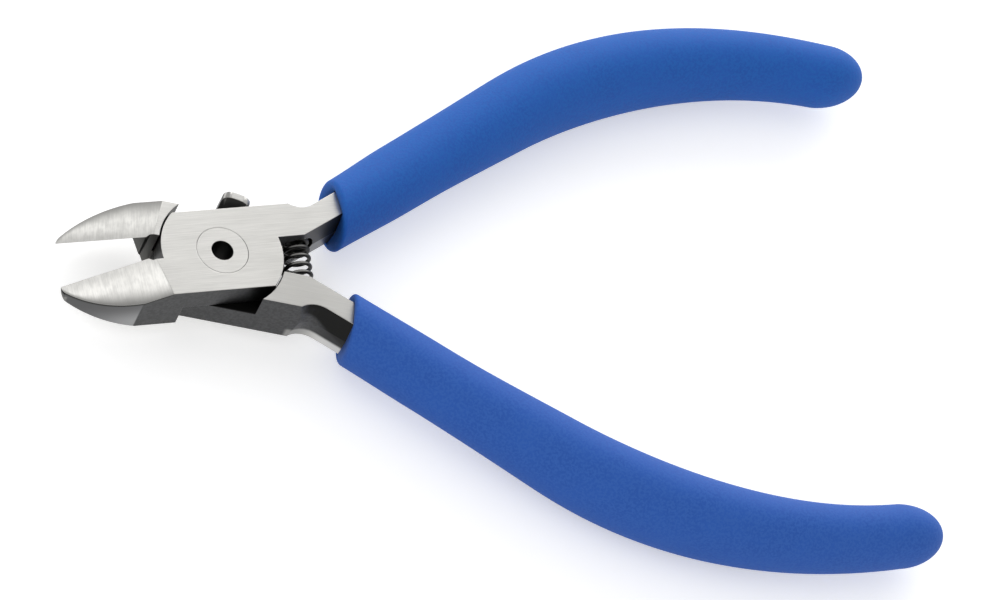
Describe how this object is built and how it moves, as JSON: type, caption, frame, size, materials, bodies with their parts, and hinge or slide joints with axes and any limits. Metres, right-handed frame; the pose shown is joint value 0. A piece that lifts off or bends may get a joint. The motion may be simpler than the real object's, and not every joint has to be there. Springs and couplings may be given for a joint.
{
  "type": "diagonal cutting nippers",
  "caption": "Small diagonal cutting nippers: lapped steel jaws with ground, bevelled cutting edges on a hollow rivet, a coil return spring and bent sleeve grips.",
  "frame": {"origin": "on the pivot axis, at the plane where the two laps meet", "axes": "+X from the pivot to the handles, along the line that halves the opening; +Y to the grip of the front half; +Z along the pivot axis, out of the ground front face"},
  "size_m": [0.1064, 0.076, 0.0112],
  "materials": {
    "steel": "satin, ground across the jaws and brushed along the head",
    "rivet": "satin, ground flush with the head",
    "spring": "oil-blackened spring wire",
    "grip": "matte soft blue vinyl"
  },
  "bodies": {
    "rear": {"rear_half": "steel", "rear_grip": "grip", "pivot_rivet": "rivet", "return_spring": "spring"},
    "front": {"front_half": "steel", "front_grip": "grip"}
  },
  "joints": [
    {"name": "jaw_pivot", "type": "hinge", "parent": "rear", "child": "front", "pos_m": [0, 0, 0], "axis": [0, 0, -1], "range_deg": [0, 18], "stiffness_Nm_per_rad": 0.23, "springref_deg": -11.46, "deforming": ["return_spring"]}
  ]
}
